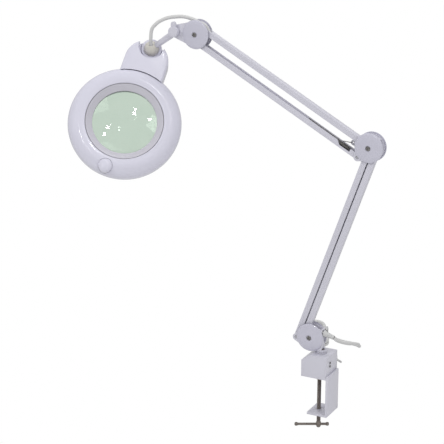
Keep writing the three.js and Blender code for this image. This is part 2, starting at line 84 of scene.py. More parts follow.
def middle(node):
    low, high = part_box(node)
    return (low + high) / 2


def deselect():
    if bpy.context.object and bpy.context.object.mode != "OBJECT":
        bpy.ops.object.mode_set(mode="OBJECT")
    bpy.ops.object.select_all(action="DESELECT")


def choose(piece):
    deselect()
    piece.select_set(True)
    bpy.context.view_layer.objects.active = piece


# ---- materials ------------------------------------------------------------------------
class Value:
    """A socket of a material's nodes, with arithmetic that adds Math nodes."""

    def __init__(self, recipe, socket):
        self.recipe = recipe
        self.socket = socket

    def _maths(self, operation, first, second):
        return self.recipe.node("ShaderNodeMath", {"operation": operation}, {0: first, 1: second})

    def __add__(self, other):
        return self._maths("ADD", self, other)

    def __radd__(self, other):
        return self._maths("ADD", other, self)

    def __sub__(self, other):
        return self._maths("SUBTRACT", self, other)

    def __rsub__(self, other):
        return self._maths("SUBTRACT", other, self)

    def __mul__(self, other):
        return self._maths("MULTIPLY", self, other)

    def __rmul__(self, other):
        return self._maths("MULTIPLY", other, self)


class Recipe:
    """A material with one Principled shader, built node by node."""

    def __init__(self, name, **fixed):
        self.material = bpy.data.materials.new(name)
        self.material.use_nodes = True
        self.tree = self.material.node_tree
        self.tree.nodes.clear()
        self.shader = self.tree.nodes.new("ShaderNodeBsdfPrincipled")
        self.output = self.tree.nodes.new("ShaderNodeOutputMaterial")
        self.tree.links.new(self.shader.outputs[0], self.output.inputs[0])
        for socket, value in fixed.items():
            self.shader.inputs[socket.replace("_", " ")].default_value = value

    def node(self, kind, settings, sockets, output=0):
        made = self.tree.nodes.new(kind)
        for name, value in settings.items():
            if name == "stops":
                ramp = made.color_ramp
                for index, (place, colour) in enumerate(value):
                    stop = ramp.elements[index] if index < 2 else ramp.elements.new(place)
                    stop.position = place
                    stop.color = colour
            else:
                setattr(made, name, value)
        for name, value in sockets.items():
            if isinstance(value, Value):
                self.tree.links.new(value.socket, made.inputs[name])
            else:
                made.inputs[name].default_value = value
        return Value(self, made.outputs[output])

    def feed(self, socket, value):
        self.tree.links.new(value.socket, self.shader.inputs[socket])

    def place(self, scale=(1, 1, 1), turn=(0, 0, 0)):
        spot = self.node("ShaderNodeTexCoord", {}, {}, "Object")
        return self.node("ShaderNodeMapping", {}, {"Vector": spot, "Scale": scale, "Rotation": turn})

    def noise(self, scale, detail=3.0, stretch=(1, 1, 1), turn=(0, 0, 0)):
        return self.node(
            "ShaderNodeTexNoise",
            {},
            {"Vector": self.place(stretch, turn), "Scale": scale, "Detail": detail},
        )

    def tint(self, amount, dark, light):
        return self.node("ShaderNodeMix", {"data_type": "RGBA"}, {0: amount, 6: dark, 7: light}, 2)

    def bump(self, height, distance, strength=1.0):
        normal = self.node(
            "ShaderNodeBump", {}, {"Height": height, "Distance": distance, "Strength": strength}
        )
        self.feed("Normal", normal)


def linear(*colour):
    def channel(value):
        value /= 255
        return value / 12.92 if value <= 0.04045 else ((value + 0.055) / 1.055) ** 2.4

    return (*[channel(value) for value in colour], 1.0)


def scaled(colour, factor):
    return (*[value * factor for value in colour[:3]], 1.0)


def powder_coat(name, colour, roughness=0.34):
    coat = Recipe(name, Coat_Roughness=0.2, Specular_IOR_Level=0.5)
    broad = coat.noise(14.0, 2.0)
    coat.feed("Base Color", coat.tint(broad, scaled(colour, 0.965), scaled(colour, 1.03)))
    peel = coat.noise(900.0, 2.0)
    coat.feed("Roughness", roughness - 0.05 + 0.1 * coat.noise(260.0, 2.0))
    coat.feed("Coat Weight", 0.2 + 0.15 * broad)
    coat.bump(peel, 0.00002, 0.25)
    return coat.material


def moulded(name, colour, roughness=0.22, coat_weight=0.35, grain=0.00002):
    shell = Recipe(name, Coat_Roughness=0.08, Subsurface_Weight=0.0)
    broad = shell.noise(9.0, 2.0)
    shell.feed("Base Color", shell.tint(broad, scaled(colour, 0.975), scaled(colour, 1.02)))
    shell.feed("Roughness", roughness - 0.03 + 0.07 * shell.noise(150.0, 3.0))
    shell.feed("Coat Weight", coat_weight - 0.08 + 0.16 * broad)
    shell.bump(shell.noise(900.0, 2.0), grain, 0.4)
    return shell.material


def steel(name, colour, roughness, stretch=(1, 1, 1), stain=0.25):
    metal = Recipe(name)
    blotch = metal.noise(60.0, 4.0)
    streak = metal.noise(700.0, 3.0, stretch)
    metal.feed("Base Color", metal.tint(blotch, scaled(colour, 1 - stain), scaled(colour, 1 + stain)))
    metal.feed("Metallic", 0.95 - 0.3 * blotch)
    metal.feed("Roughness", roughness - 0.08 + 0.2 * streak)
    metal.bump(streak, 0.00005, 0.6)
    return metal.material


def sheath(name, colour):
    vinyl = Recipe(name, Sheen_Weight=0.1)
    rub = vinyl.noise(45.0, 3.0)
    vinyl.feed("Base Color", vinyl.tint(rub, scaled(colour, 0.93), scaled(colour, 1.03)))
    vinyl.feed("Roughness", 0.38 + 0.16 * vinyl.noise(300.0, 2.0))
    vinyl.bump(vinyl.noise(1200.0, 2.0), 0.00005, 0.5)
    return vinyl.material


WHITE = linear(212, 211, 222)
SHELL_WHITE = linear(218, 217, 231)
COVER_WHITE = linear(203, 202, 216)
M = {
    "white_coated_steel": powder_coat("powder_coat_white", WHITE),
    "white_plastic": moulded("head_moulding", SHELL_WHITE),
    "cover_plastic": moulded("cover_moulding", COVER_WHITE, 0.18, 0.5),
    "bezel_plastic": moulded("bezel_moulding", linear(206, 204, 214), 0.3, 0.2),
    "dark_steel": steel("oiled_steel", linear(140, 132, 126), 0.42, (1, 1, 0.08)),
    "screw_steel": steel("screw_head_steel", linear(138, 136, 134), 0.32),
    "bright_steel": steel("plated_steel", linear(186, 186, 192), 0.28),
    "cream_plastic": moulded("cream_moulding", linear(208, 205, 197), 0.3, 0.2),
    "white_cable": sheath("lead_sheath", linear(212, 212, 212)),
    "tie_wire": sheath("tie_sheath", linear(198, 198, 200)),
    "opal_plastic": moulded("opal_acrylic", linear(240, 241, 238), 0.35, 0.1),
    "tube_glass": moulded("phosphor_tube", linear(246, 246, 242), 0.15, 0.6),
}


def lens_glass():
    glass = Recipe("lens_crown_glass", IOR=1.52, Transmission_Weight=1.0)
    haze = glass.noise(40.0, 2.0)
    glass.feed("Base Color", glass.tint(haze, linear(190, 207, 193), linear(197, 212, 199)))
    glass.feed("Roughness", 0.0 + 0.015 * haze)
    return glass.material


M["lens_glass"] = lens_glass()


def finish_with(piece, material):
    piece.data.materials.clear()
    piece.data.materials.append(M[material])


# ---- shaping --------------------------------------------------------------------------
def new_mesh(name, points, faces=(), edges=()):
    mesh = bpy.data.meshes.new(name)
    mesh.from_pydata([tuple(point) for point in points], list(edges), list(faces))
    piece = bpy.data.objects.new(name, mesh)
    bpy.context.scene.collection.objects.link(piece)
    return piece


def apply(piece, kind, **settings):
    choose(piece)
    modifier = piece.modifiers.new(kind.lower(), kind)
    for name, value in settings.items():
        setattr(modifier, name, value)
    bpy.ops.object.modifier_apply(modifier=modifier.name)


def outward(piece, merge=1e-6):
    choose(piece)
    bpy.ops.object.mode_set(mode="EDIT")
    bpy.ops.mesh.select_all(action="SELECT")
    bpy.ops.mesh.remove_doubles(threshold=merge)
    bpy.ops.mesh.normals_make_consistent(inside=False)
    bpy.ops.object.mode_set(mode="OBJECT")


def smooth(piece, degrees=35):
    choose(piece)
    bpy.ops.object.shade_smooth_by_angle(angle=math.radians(degrees))


def eased(points, count=4):
    """Points in millimetres made into a smooth run through all of them."""
    line = [Vector((*p, 0)) for p in points]
    padded = [2 * line[0] - line[1], *line, 2 * line[-1] - line[-2]]
    run = []
    for a, b, c, d in zip(padded, padded[1:], padded[2:], padded[3:]):
        for step in range(count):
            t = step / count
            spot = 0.5 * (2 * b + (c - a) * t + (2 * a - 5 * b + 4 * c - d) * t * t
                          + (3 * b - 3 * c + d - a) * t ** 3)
            run.append((spot.x, spot.y))
    run.append(tuple(points[-1]))
    return run


def turned(name, loop, place, steps=96):
    """A closed loop of (radius, height) in millimetres, spun about its own Z."""
    points = [(radius * MM, 0, height * MM) for radius, height in loop]
    edges = [(i, (i + 1) % len(points)) for i in range(len(points))]
    piece = new_mesh(name, points, edges=edges)
    apply(piece, "SCREW", angle=2 * math.pi, steps=steps, render_steps=steps, axis="Z",
          use_merge_vertices=True, merge_threshold=1e-6)
    outward(piece)
    piece.data.transform(place)
    return piece


def aimed(spot, way):
    """The place of a turned piece that starts at the spot and stands along the way."""
    return Matrix.Translation(spot) @ UP.rotation_difference(way).to_matrix().to_4x4()


def ring_axis(centre, side):
    """Joint covers and pins stand along -Y (side -1) or +Y (side 1)."""
    return Matrix.Translation(centre) @ Matrix.Rotation(-side * math.pi / 2, 4, "X")


def combine(piece, other, operation):
    apply(piece, "BOOLEAN", operation=operation, object=other, solver="EXACT")
    bpy.data.objects.remove(other)
    return piece


def cylinder(radius, low, high, x=0.0, y=0.0, sides=96):
    deselect()
    bpy.ops.mesh.primitive_cylinder_add(
        vertices=sides, radius=radius * MM, depth=(high - low) * MM,
        location=(x * MM, y * MM, (low + high) / 2 * MM))
    piece = bpy.context.object
    piece.data.transform(piece.matrix_world)
    piece.matrix_world = Matrix.Identity(4)
    return piece


def block(low, high):
    deselect()
    size = [(b - a) * MM for a, b in zip(low, high)]
    bpy.ops.mesh.primitive_cube_add(size=1, location=[(a + b) / 2 * MM for a, b in zip(low, high)])
    piece = bpy.context.object
    piece.scale = size
    bpy.context.view_layer.update()
    piece.data.transform(piece.matrix_world)
    piece.matrix_world = Matrix.Identity(4)
    return piece


def take(piece, node, material=None):
    """The piece stands for the node, with its body, slot and finish."""
    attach(piece, frame["nodes"][node]["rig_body"])
    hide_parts(node)
    finish_with(piece, material or SLOT[node])
    LEFTOVER.pop(node, None)
    return piece


EDGE_ANGLE = 30
SLOT = {part["node"]: part["material_slot"] for part in frame["record"]["subparts"]}


def eased_copy(node, width=0.4, segments=2, material=None):
    """The node's own solid with its edges softened by width, in millimetres."""
    source = frame["nodes"][node]
    piece = bpy.data.objects.new(node + "_made", source.data.copy())
    bpy.context.scene.collection.objects.link(piece)
    choose(piece)
    if piece.data.has_custom_normals:
        bpy.ops.mesh.customdata_custom_splitnormals_clear()
    bpy.ops.object.mode_set(mode="EDIT")
    bpy.ops.mesh.select_all(action="SELECT")
    bpy.ops.mesh.remove_doubles(threshold=1e-5)
    bpy.ops.mesh.dissolve_limited(angle_limit=math.radians(0.5))
    bpy.ops.object.mode_set(mode="OBJECT")
    apply(piece, "BEVEL", width=width * MM, segments=segments, limit_method="ANGLE",
          angle_limit=math.radians(EDGE_ANGLE), use_clamp_overlap=True)
    smooth(piece, 32)
    return take(piece, node, material)


def resampled(points, spacing):
    """A smooth line through the points, cut into equal steps."""
    padded = [2 * points[0] - points[1], *points, 2 * points[-1] - points[-2]]
    run = []
    for a, b, c, d in zip(padded, padded[1:], padded[2:], padded[3:]):
        count = max(2, int((c - b).length / (spacing * 0.25)))
        for step in range(count):
            t = step / count
            run.append(0.5 * (2 * b + (c - a) * t + (2 * a - 5 * b + 4 * c - d) * t * t
                              + (3 * b - 3 * c + d - a) * t ** 3))
    run.append(points[-1].copy())
    lengths = [0.0]
    for first, second in zip(run, run[1:]):
        lengths.append(lengths[-1] + (second - first).length)
    count = max(3, round(lengths[-1] / spacing))
    even = []
    index = 0
    for step in range(count + 1):
        goal = lengths[-1] * step / count
        while index < len(run) - 2 and lengths[index + 1] < goal:
            index += 1
        span = lengths[index + 1] - lengths[index]
        share = min(1.0, (goal - lengths[index]) / span) if span else 0.0
        even.append(run[index].lerp(run[index + 1], share))
    return even, lengths[-1]


def sleeve(name, line, radius, sides=14):
    """A closed tube round a line of points; radius is a number or a function of 0..1."""
    size = radius if callable(radius) else (lambda share: radius)
    count = len(line)
    across = None
    points = []
    for index, spot in enumerate(line):
        ahead = line[min(index + 1, count - 1)] - line[max(index - 1, 0)]
        ahead.normalize()
        if across is None:
            across = ahead.orthogonal().normalized()
        across = (across - ahead * across.dot(ahead)).normalized()
        other = ahead.cross(across)
        reach = size(index / (count - 1))
        for side in range(sides):
            angle = 2 * math.pi * side / sides
            points.append(spot + reach * (math.cos(angle) * across + math.sin(angle) * other))
    faces = []
    for ring in range(count - 1):
        for side in range(sides):
            a = ring * sides + side
            b = ring * sides + (side + 1) % sides
            faces.append((a, b, b + sides, a + sides))
    faces.append(tuple(reversed(range(sides))))
    faces.append(tuple(range((count - 1) * sides, count * sides)))
    piece = new_mesh(name, points, faces)
    outward(piece)
    smooth(piece, 50)
    return piece


# ---- camera ---------------------------------------------------------------------------
EYE = Vector((0.9757, -2.2062, 1.0069))
LOOK = Matrix(((0.8829, -0.1310, 0.4510), (0.4696, 0.2463, -0.8478), (0.0, 0.9603, 0.2790)))
lens = bpy.data.cameras.new("viewing_camera")
lens.sensor_width = 36.0
lens.lens = 106.64
lens.clip_end = 50.0
camera = bpy.data.objects.new("viewing_camera", lens)
camera.matrix_world = Matrix.Translation(EYE) @ LOOK.to_quaternion().to_matrix().to_4x4()
bpy.context.scene.collection.objects.link(camera)
bpy.context.scene.camera = camera

# ---- cords ----------------------------------------------------------------------------
CORD = 0.0035
BALL = at("head_roll")
TOP_PIVOT = at("head_end_level")
ALONG = (at("upper_arm_lift") - TOP_PIVOT).normalized()
OUTER = Vector((-ALONG.z, 0, ALONG.x))
if OUTER.z < 0:
    OUTER = -OUTER


def from_head_top(along, off):
    return TOP_PIVOT + ALONG * along * MM + OUTER * off * MM


def vectors(points):
    return [Vector(point) * MM for point in points]


def run_length(line):
    return sum((b - a).length for a, b in zip(line, line[1:]))


LEAD_STEP = 0.002
MAINS_STEP = 0.003
LEAD_WAY = Vector((0.33, -0.66, 0.68)).normalized()
LEAD_JOIN = Vector((-0.338, -0.014, 0.662))
ball_hole = BALL + LEAD_WAY * 0.0065
outside_ball = BALL + LEAD_WAY * 0.019
lead = [
    ball_hole, outside_ball,
    *vectors([(-345.5, -17, 636), (-344.6, -17, 647), (-342.5, -16, 656)]),
    LEAD_JOIN,
    *vectors([(-329.5, -11, 669.5), (-316, -5, 676.3), (-300, -1, 679.3), (-280, 0, 680.6)]),
    *vectors([(-259, 0, 676.5), (-247.5, 0, 671.5)]),
    *[from_head_top(*spot) for spot in ((-1, 8), (8, 5), (16, 1), (22, -0.3), (36, -0.3))],
]
whole = resampled(lead, LEAD_STEP)[0]
split = min(range(len(whole)), key=lambda spot: (whole[spot] - LEAD_JOIN).length)
line = whole[:split + 1]
length = run_length(line)
piece = sleeve("lead_to_ball", line, CORD)
finish_with(piece, "white_cable")
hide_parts("head_lead_lower")
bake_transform(piece)

line = whole[split:]
length = run_length(line)
piece = sleeve("lead_over_joint", line, CORD)
finish_with(piece, "white_cable")
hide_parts("head_lead_upper", "head_lead_arm")
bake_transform(piece)
for node in ("head_lead_lower", "head_lead_upper", "head_lead_arm"):
    LEFTOVER.pop(node, None)

# The mains lead's heights, in millimetres above the bench.
REST = 3.6
HANK_NEAR = Vector((-44.9, 132.4, 0))
HANK_FAR = Vector((-82.3, 198.6, 0))
HANK_LOW = 3.9
HANK_PITCH = 7.2
HANK_TURNS = 3
FOLD = 21.0
HANK_JOINED = 2
HANK_LEFT = -11
run_way = (HANK_FAR - HANK_NEAR).normalized()
side_way = Vector((run_way.y, -run_way.x, 0))
half_run = (HANK_FAR - HANK_NEAR).length / 2
hank_middle = (HANK_FAR + HANK_NEAR) / 2


def hank_point(along, aside, height):
    return hank_middle + run_way * along + side_way * aside + Vector((0, 0, height))


def hank_turns():
    """Long turns laid on each other: joined at the far fold, left at the near one."""
    spots = []
    arc = [(FOLD * math.sin(math.pi * step / 6), FOLD * math.cos(math.pi * step / 6)) for step in range(6)]
    shares = [step / 3 for step in range(6)]
    lap = [(half_run + reach, aside) for reach, aside in arc]
    lap += [(half_run - half_run * share, -FOLD) for share in shares]
    lap += [(-half_run - reach, -aside) for reach, aside in arc]
    lap += [(-half_run + half_run * share, FOLD) for share in shares]
    for turn in range(HANK_TURNS):
        for index, (along, aside) in enumerate(lap):
            height = HANK_LOW + HANK_PITCH * (turn + index / len(lap))
            spots.append(hank_point(along, aside, height))
    return spots[HANK_JOINED:HANK_LEFT]


low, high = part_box("strain_relief")
relief_tip = Vector((high.x - 0.0008, 0, low.z + 0.0042))
falling = [
    (53, 5.5, 74), (64.5, 20, 66), (73, 38, 60), (74, 60, 51), (64, 86, 39.5), (53, 116, 25.5),
    (43, 146, 11.5), (31, 165, 4.8), (16, 172, REST), (-2, 173, REST), (-20, 177, REST),
    (-37, 187, REST), (-51, 199, REST), (-64, 210.5, 3.7),
]
to_plug = [(-56.9, 115.2, 21), (-41.3, 104.3, 16.5), (-33, 98.5, 13), (-25, 92.9, 9.8), (-14.2, 85.3, 7.5)]
mains = [relief_tip / MM, *map(Vector, falling), *hank_turns(), *map(Vector, to_plug)]
line, length = resampled([spot * MM for spot in mains], MAINS_STEP)
piece = sleeve("mains_lead", line, CORD)
finish_with(piece, "white_cable")
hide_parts("mains_cord", "mains_hank", "mains_tail")
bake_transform(piece)
for node in ("mains_cord", "mains_hank", "mains_tail"):
    LEFTOVER.pop(node, None)
plug_piece = eased_copy("plug", 1.2, 3)
tie_piece = eased_copy("hank_tie", 0.4, 2)

# ---- covers and screws of the three arm joints -----------------------------------------
COVER_IN = 8.7
SCREW_TURN = math.radians(24)
cover_dome = eased([
    (28, 9.1), (27.4, 10.2), (25.4, 11.35), (21.5, 12.4), (16, 13.2), (10, 13.7), (6.4, 13.9)], 5)
COVER_LOOP = [
    (26.2, COVER_IN), (28, COVER_IN), *cover_dome,
    (5.6, 13.7), (5.2, 13.0), (2.4, 12.9), (2.4, 12.3), (18, 11.2),
]
SCREW_LOOP = [
    (0, 9.2), (2, 9.2), (2, 13.2), (4.4, 13.3), (4.4, 13.9),
    *eased([(4.2, 14.4), (3.2, 15.1), (1.6, 15.5), (0, 15.6)], 3),
]
CROSS_SLOT = (((-2.9, -0.55), (2.9, 0.55)), ((-0.55, -2.9), (0.55, 2.9)))
for joint in ("base", "elbow", "head_end"):
    for side, word in ((-1, "front"), (1, "rear")):
        centre = middle(f"{joint}_cover_{word}")
        centre.y = 0
        cover = turned(f"{joint}_cover_{word}_made", COVER_LOOP, ring_axis(centre, side), 112)
        smooth(cover, 30)
        take(cover, f"{joint}_cover_{word}", "cover_plastic")
        screw = turned(f"{joint}_screw_{word}_made", SCREW_LOOP, Matrix.Identity(4), 32)
        for first, second in CROSS_SLOT:
            screw = combine(screw, block((*first, 14.2), (*second, 17)), "DIFFERENCE")
        screw.data.transform(ring_axis(centre, side) @ Matrix.Rotation(SCREW_TURN, 4, "Z"))
        smooth(screw, 30)
        take(screw, f"{joint}_screw_{word}", "screw_steel")

# ---- sheet-metal pieces ----------------------------------------------------------------
for node, width in (
    ("clamp_frame", 0.6), ("clamp_housing", 0.7), ("base_bracket", 0.3), ("elbow_frame", 0.3),
    ("head_bracket", 0.3), ("lower_bar_left", 0.45), ("lower_bar_right", 0.45),
    ("upper_bar_top", 0.45), ("upper_bar_bottom", 0.3), ("tilt_lever", 0.8), ("tilt_bolt", 0.3),
):
    eased_copy(node, width)
for node in list(LEFTOVER):
    if "_pin_" in node:
        eased_copy(node, 0.3, 2, "bright_steel")
for node in ("housing_screw_upper", "housing_screw_lower"):
    eased_copy(node, 0.25, 2, "screw_steel")

# ---- clamp screw ----------------------------------------------------------------------
SCREW_X = middle("pressure_pad").x / MM
THREAD = 1.25
THREAD_FROM, THREAD_TO = -100.0, -12
spindle = [
    (0, -113.4), (2.6, -113.4), (3.6, -112.8), (5, -109.6), (5, -103), (4.6, -102.2), (3.9, -101)]
turn = THREAD_FROM
while turn < THREAD_TO:
    spindle += [(3.35, turn + 0.15 * THREAD), (3.95, turn + 0.5 * THREAD), (3.95, turn + 0.65 * THREAD)]
    turn += THREAD
spindle += [(3.4, -10.5), (3.4, -4.8), (0, -4.8)]
piece = turned("clamp_screw_made", spindle, Matrix.Translation((SCREW_X * MM, 0, 0)), 40)
HANDLE_TURN = math.radians(28)
HANDLE = Vector((math.cos(HANDLE_TURN), math.sin(HANDLE_TURN), 0))
across_screw = aimed((SCREW_X * MM, 0, middle("tbar").z), HANDLE)
hole = cylinder(2.7, -9, 9, sides=32)
hole.data.transform(across_screw)
piece = combine(piece, hole, "DIFFERENCE")
smooth(piece, 28)
take(piece, "clamp_screw")
handle = [
    (0, -47.6), (1.8, -47.6), (3.0, -47.1), (3.6, -45.8), (3.6, -42.6), (3.1, -41.6), (2.5, -41.2),
    (2.5, 14.3), (3.1, 14.7), (3.6, 15.7), (3.6, 18.9), (3.0, 20.2), (1.8, 20.7), (0, 20.7),
]
piece = turned("clamp_handle_made", handle, across_screw, 40)
smooth(piece, 40)
take(piece, "tbar")
pad = [
    (0, -2.3), (0, -4.3), (4.3, -4.3), (4.3, -9.7), (6.6, -9.7), (7, -9.3), (7.3, -6.6), (10.4, -6),
    (11, -5.5), (11, -2.8), (10.5, -2.3),
]
piece = turned("pressure_pad_made", pad, Matrix.Translation((SCREW_X * MM, 0, 0)), 64)
smooth(piece, 30)
take(piece, "pressure_pad")

# ---- pan joint ------------------------------------------------------------------------
pan_place = Matrix.Translation((at("base_pan").x, 0, 0))
bush = [(5.6, 17), (7, 17), (7, 46.6), (9.7, 46.6), (10, 46.9), (10, 48.5), (9.4, 49.1), (5.6, 49.1)]
piece = turned("pan_bush_made", bush, pan_place, 72)
smooth(piece, 30)
take(piece, "pan_bush", "white_coated_steel")
pin = [(0, 14), (5, 14), (5.5, 14.5), (5.5, 52.4), (5, 52.9), (0, 52.9)]
piece = turned("pan_pin_made", pin, pan_place, 64)
smooth(piece, 30)
take(piece, "pan_pin")

DROOP = math.radians(14)
RELIEF_ROOT = Vector((0.02706, 0, 0.086))
relief_place = aimed(RELIEF_ROOT, Vector((math.cos(DROOP), 0, -math.sin(DROOP))))
relief_loop = [(0, -7), (3.9, -7), (3.9, 0), (6.8, 0), (6.8, 1.8), (5.9, 2.6)]
RIB_STEP = 2.6
RIB_DEPTH = 0.7
station = 4.0
while station < 20:
    wide = 5.5 - 1.4 * (station - 3) / 18
    relief_loop += [
        (wide, station), (wide, station + 1.3),
        (wide - RIB_DEPTH, station + 1.5), (wide - RIB_DEPTH, station + 2.2)]
    station += RIB_STEP
relief_loop += [(4.1, 20.6), (3.9, 21), (3.56, 21), (3.56, 8), (0, 8)]
piece = turned("strain_relief_made", relief_loop, relief_place, 48)
smooth(piece, 30)
take(piece, "strain_relief")

# ---- spring in the upper arm -----------------------------------------------------------
BOTTOM_PIVOT = at("upper_bar_b_follow")
REACH = -ALONG
INWARD = Vector((-REACH.z, 0, REACH.x))
if INWARD.z < 0:
    INWARD = -INWARD
COIL = 3.3
WIRE = 0.62
PITCH = 1.6
COIL_RISE = 1.5
COIL_POINTS = 14
SPRING_FROM, SPRING_TO = 22.6, 119.0
coil_line = []
steps = int((SPRING_TO - SPRING_FROM) / PITCH * COIL_POINTS)
for step in range(steps + 1):
    share = step / steps
    angle = 2 * math.pi * (SPRING_TO - SPRING_FROM) / PITCH * share
    spot = BOTTOM_PIVOT + REACH * (SPRING_FROM + (SPRING_TO - SPRING_FROM) * share) * MM
    spot += INWARD * (COIL_RISE + COIL * math.cos(angle)) * MM
    spot += Vector((0, COIL * math.sin(angle) * MM, 0))
    coil_line.append(spot)
piece = sleeve("spring_made", coil_line, WIRE * MM, 6)
take(piece, "upper_spring", "screw_steel")
hook = [BOTTOM_PIVOT + REACH * a * MM + INWARD * b * MM + Vector((0, c * MM, 0))
        for a, b, c in ((24.5, 14, 2.6), (27.5, 12.8, 2.2), (32, 10.9, 1.6), (37, 8.9, 0.9), (41, 7.2, 0.4))]
line = resampled(hook, 0.0006)[0]
piece = sleeve("spring_hook_made", line, 0.0008, 10)
take(piece, "spring_wire", "screw_steel")

# ---- tilt stem and ball ----------------------------------------------------------------
TILT = at("head_tilt")
stem_way = (BALL - TILT).normalized()
stem_length = (BALL - TILT).length / MM
stem_place = aimed(TILT, stem_way)
stem_end = stem_length - 10.3
stem_loop = [
    (0, 0), (6, 0), (6, 12), *eased([(6.1, 13.5), (6.5, 17.5), (6.3, 28), (5.6, stem_end - 4)], 4),
    (5.5, stem_end), (0, stem_end),
]
eye_loop = [(0, -6.1), (8.5, -6.1), (9, -5.6), (9, 5.6), (8.5, 6.1), (0, 6.1)]
stem = turned("tilt_stem_made", stem_loop, stem_place, 64)
eye = turned("eye", eye_loop, ring_axis(TILT, 1), 64)
stem = combine(stem, eye, "UNION")
bolt_hole = turned("bolt_hole", [(0, -9), (4.12, -9), (4.12, 9), (0, 9)], ring_axis(TILT, 1), 48)
stem = combine(stem, bolt_hole, "DIFFERENCE")
smooth(stem, 30)
take(stem, "tilt_stem")

BALL_RADIUS = 15
ball_loop = [
    (BALL_RADIUS * math.sin(math.pi * i / 40), -BALL_RADIUS * math.cos(math.pi * i / 40)) for i in range(41)]
ball = turned("swivel_ball_made", ball_loop, Matrix.Translation(BALL), 72)
socket_low, socket_high = stem_length - 17, stem_length - 10
socket_loop = [(0, socket_low), (5.9, socket_low), (5.9, socket_high), (0, socket_high)]
socket = turned("socket", socket_loop, stem_place, 48)
ball = combine(ball, socket, "DIFFERENCE")
lead_hole = cylinder(3.9, 3, 20, sides=40)
lead_hole.data.transform(aimed(BALL, LEAD_WAY))
ball = combine(ball, lead_hole, "DIFFERENCE")
smooth(ball, 35)
take(ball, "swivel_ball")

# ---- head -----------------------------------------------------------------------------
NORMAL = Vector(JOINTS["head_swivel"]["axis"]).normalized()
RISE = Vector((0.0577, 0.5513, 0.8323))
ACROSS = RISE.cross(NORMAL).normalized()
UPWARD = NORMAL.cross(ACROSS)
BALL_REACH = 161.6
head_turn = Matrix((ACROSS, UPWARD, NORMAL)).transposed().to_4x4()
HEAD = Matrix.Translation(BALL - UPWARD * BALL_REACH * MM) @ head_turn
FLAT = Matrix.Identity(4)
SWITCH_AT = (-6, -95)
NECK_HALF = 43.0
NECK_CENTRE = 130.0
NECK_TOP = 17
POCKET = 25
SHELL = 2.2


def neck_block(inset, low, high, ease=0.0):
    """The neck's rounded outline, solid from low to high, its top edge eased."""
    half = NECK_HALF - inset
    outline = [(-half, 60), (half, 60)]
    for i in range(65):
        angle = math.pi * i / 64
        outline.append((half * math.cos(angle), NECK_CENTRE + half * math.sin(angle)))
    points = [(x * MM, y * MM, low * MM) for x, y in outline]
    piece = new_mesh("neck", points, [tuple(range(len(points)))])
    choose(piece)
    bpy.ops.object.mode_set(mode="EDIT")
    bpy.ops.mesh.select_all(action="SELECT")
    bpy.ops.mesh.extrude_region_move(TRANSFORM_OT_translate={"value": (0, 0, (high - low) * MM)})
    if ease:
        bpy.ops.mesh.select_mode(type="FACE")
        bpy.ops.mesh.bevel(offset=ease * MM, segments=6, affect="EDGES")
    bpy.ops.object.mode_set(mode="OBJECT")
    outward(piece)
    return piece


def head_hole(radius, low, high=40, y=0.0, sides=96):
    return cylinder(radius, low, high, 0, y, sides)


crown_run = [
    (110, 1.5), (109.4, 6.5), (107.6, 11.4), (104.3, 15.8), (99.6, 19.6), (94, 22.3), (88, 23.5),
    (82, 23.4), (77.2, 22.9),
]
inside_run = [(107.2, 6), (105.4, 10.6), (102.2, 14.6), (97.8, 18), (93, 20.2), (88, 21.2), (82, 21.1)]
crown = [(110, 0), *eased(crown_run, 5), (75.9, 22)]
inside = [(107.8, -1), (107.8, 1), *eased(inside_run, 4), (70, 20.2)]
top = turned("head_top_shell_made", [(75.9, 0), *crown], FLAT, 180)
neck_piece = combine(neck_block(0, -1, NECK_TOP, 4.5), head_hole(106.3, -9, sides=180), "DIFFERENCE")
neck_piece = combine(neck_piece, block((-99, 0, -9), (99, 250, 0)), "DIFFERENCE")
top = combine(top, neck_piece, "UNION")
hollow = turned("hollow", [(70, -1), *inside], FLAT, 180)
neck_hollow = combine(neck_block(SHELL, -1, NECK_TOP - SHELL, 3), head_hole(83.3, -9, sides=128), "DIFFERENCE")
hollow = combine(hollow, neck_hollow, "UNION")
hollow = combine(hollow, head_hole(POCKET + SHELL, -9, y=BALL_REACH), "DIFFERENCE")
top = combine(top, hollow, "DIFFERENCE")
top = combine(top, head_hole(POCKET, -9, y=BALL_REACH), "DIFFERENCE")
top = combine(top, cylinder(13.8, 9, 40, *SWITCH_AT), "DIFFERENCE")
top.data.transform(HEAD)
smooth(top, 30)
take(top, "head_top_shell")

FLOOR = -17.5
skirt_loop = [
    (110, -0.3), (107.8, -0.3), *eased([(107.6, -5), (106.4, -10.4), (103.4, -15.6)], 4),
    (99, -16), (99, -18), *eased([(104, -18), (107.3, -14.4), (109.3, -8.4), (110, -2)], 5),
]
skirt = turned("head_bottom_shell_made", skirt_loop, FLAT, 180)
pan = neck_block(0, FLOOR, -0.3, 0)
inner = neck_block(SHELL, FLOOR + SHELL, 9)
inner = combine(inner, head_hole(POCKET + SHELL, -30, y=BALL_REACH), "DIFFERENCE")
pan = combine(pan, inner, "DIFFERENCE")
pan = combine(pan, head_hole(POCKET, -3, y=BALL_REACH), "DIFFERENCE")
pan = combine(pan, head_hole(21.2, FLOOR + SHELL, y=BALL_REACH), "DIFFERENCE")
pan = combine(pan, head_hole(104.5, -30, 9, sides=180), "DIFFERENCE")
skirt = combine(skirt, pan, "UNION")
skirt.data.transform(HEAD)
smooth(skirt, 30)
take(skirt, "head_bottom_shell")

